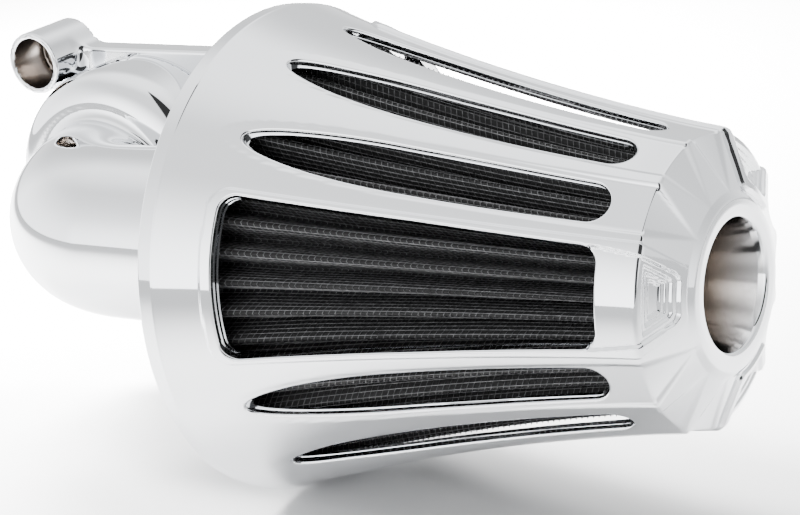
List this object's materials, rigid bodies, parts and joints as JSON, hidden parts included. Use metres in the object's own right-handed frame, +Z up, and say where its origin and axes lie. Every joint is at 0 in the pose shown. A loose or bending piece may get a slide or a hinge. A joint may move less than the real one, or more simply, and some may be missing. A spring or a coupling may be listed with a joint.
{
  "type": "motorcycle air filter",
  "caption": "Chrome cone-shaped air filter cover with slots over a pleated filter, on a right-angle intake elbow with a breather bracket.",
  "frame": {"origin": "centre of the throttle body bore, on the gasket's mating face", "axes": "+X forward along the cover's axis towards its nose, -Y outboard away from the engine, +Z up"},
  "size_m": [0.3283, 0.165, 0.165],
  "materials": {
    "chrome": "polished",
    "zinc_steel": "zinc plated",
    "black_steel": "black oxide",
    "gasket_paper": "matt",
    "rubber": "matt",
    "urethane": "satin",
    "filter_cotton": "oiled cotton gauze",
    "wire_mesh": "epoxy coated"
  },
  "bodies": {
    "mounting": {"mount_bracket": "chrome", "throttle_gasket": "gasket_paper", "intake_elbow": "chrome", "elbow_o_ring": "rubber", "elbow_set_screws": "black_steel", "backing_plate": "chrome", "plate_gasket": "gasket_paper", "plate_screws": "zinc_steel", "stud_spider": "zinc_steel", "stud_nut": "zinc_steel", "centre_stud": "zinc_steel"},
    "filter": {"filter_base_ring": "urethane", "filter_media": "filter_cotton", "filter_outer_mesh": "wire_mesh", "filter_inner_mesh": "wire_mesh", "filter_end_cap": "urethane", "filter_plate_seal": "rubber"},
    "cover": {"cover_shell": "chrome", "cover_rim_pads": "rubber", "cover_seal_washer": "rubber"},
    "screw": {"screw_washer": "zinc_steel", "cover_screw": "zinc_steel"}
  },
  "joints": [
    {"name": "cover_slide", "type": "slide", "parent": "mounting", "child": "cover", "axis": [1, 0, 0], "range_m": [0, 0.3]},
    {"name": "filter_slide", "type": "slide", "parent": "mounting", "child": "filter", "axis": [1, 0, 0], "range_m": [0, 0.15]},
    {"name": "cover_screw_turn", "type": "hinge", "parent": "cover", "child": "screw", "pos_m": [0.233, -0.07, 0], "axis": [1, 0, 0], "continuous": true}
  ],
  "couplings": [
    {"joint": "filter_slide", "follows": "cover_slide", "ratio": 0.5}
  ]
}
